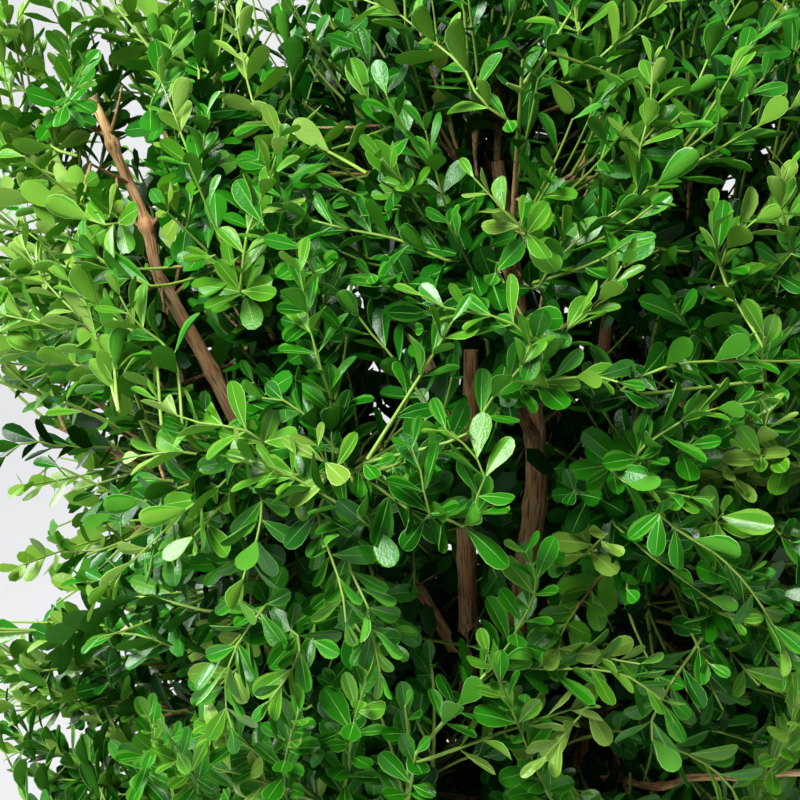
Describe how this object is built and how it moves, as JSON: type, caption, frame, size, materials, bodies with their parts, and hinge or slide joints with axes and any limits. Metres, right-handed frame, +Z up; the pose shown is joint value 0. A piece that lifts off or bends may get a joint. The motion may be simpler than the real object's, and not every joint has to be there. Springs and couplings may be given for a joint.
{
  "type": "potted box shrub",
  "caption": "Small-leaved evergreen shrub grown as a loose open ball on bare woody stems, in a plain tapering terracotta pot with a thick rim band.",
  "frame": {"origin": "centre of the pot's flat underside, at floor level", "axes": "+Z up, towards the crown's top; -Y towards the front, from which the picture was taken; +X to the viewer's right"},
  "size_m": [0.5605, 0.5665, 0.8209],
  "materials": {
    "terracotta": "unglazed, matt",
    "compost": "loose, matt",
    "bark": "thin furrowed bark",
    "foliage": "glossy leaves"
  },
  "bodies": {
    "root": {"pot": "terracotta", "compost": "compost", "centre_stem": "bark", "left_stem": "bark", "right_stem": "bark", "rear_right_stem": "bark", "rear_left_stem": "bark", "upper_bough_2": "bark", "middle_bough_1": "bark", "middle_bough_2": "bark", "middle_bough_3": "bark", "middle_bough_4": "bark", "middle_bough_5": "bark", "middle_bough_6": "bark", "lower_bough_1": "bark", "lower_bough_2": "bark", "lower_bough_3": "bark", "lower_bough_4": "bark", "lower_bough_5": "bark", "top_foliage": "foliage", "upper_foliage_1": "foliage", "upper_foliage_2": "foliage", "upper_foliage_3": "foliage", "upper_foliage_4": "foliage", "upper_foliage_5": "foliage", "middle_foliage_1": "foliage", "middle_foliage_2": "foliage", "middle_foliage_3": "foliage", "middle_foliage_4": "foliage", "middle_foliage_5": "foliage", "middle_foliage_6": "foliage", "lower_foliage_1": "foliage", "lower_foliage_2": "foliage", "lower_foliage_3": "foliage", "lower_foliage_4": "foliage", "lower_foliage_5": "foliage"}
  },
  "joints": []
}
